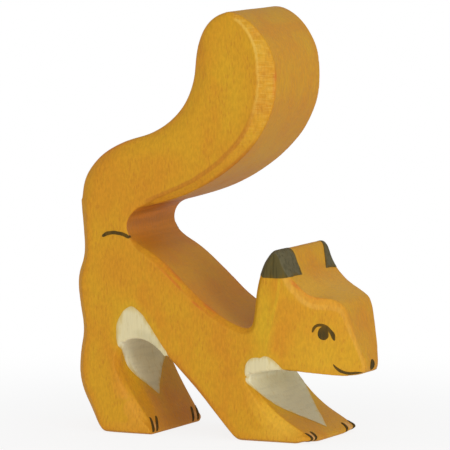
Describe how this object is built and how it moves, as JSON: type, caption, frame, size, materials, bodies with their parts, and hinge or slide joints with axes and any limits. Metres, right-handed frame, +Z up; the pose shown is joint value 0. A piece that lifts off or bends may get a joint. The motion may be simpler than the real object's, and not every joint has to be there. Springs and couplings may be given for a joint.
{
  "type": "squirrel figurine",
  "caption": "Carved wooden squirrel standing on all fours, head low and tail curled up over its back, with painted ear tips, face, claws and white patches.",
  "frame": {"origin": "on the floor, below the middle of the figure's box", "axes": "+X the way the squirrel looks, +Z up, -Y out of its right flank"},
  "size_m": [0.0566, 0.0232, 0.08],
  "materials": {
    "stained_wood": "orange stain, sanded, satin",
    "white_paint": "thin brushed white paint, matt",
    "dark_paint": "thin brushed dark brown paint, matt"
  },
  "bodies": {
    "root": {"carved_body": "stained_wood", "white_haunch_patch": "white_paint", "white_bib": "white_paint", "nose_spot": "dark_paint", "right_ear_tip": "dark_paint", "left_ear_tip": "dark_paint", "right_eye": "dark_paint", "left_eye": "dark_paint", "right_mouth": "dark_paint", "left_mouth": "dark_paint", "right_tail_stroke": "dark_paint", "left_tail_stroke": "dark_paint", "right_hind_claws": "dark_paint", "left_hind_claws": "dark_paint", "right_fore_claws": "dark_paint", "left_fore_claws": "dark_paint"}
  },
  "joints": []
}
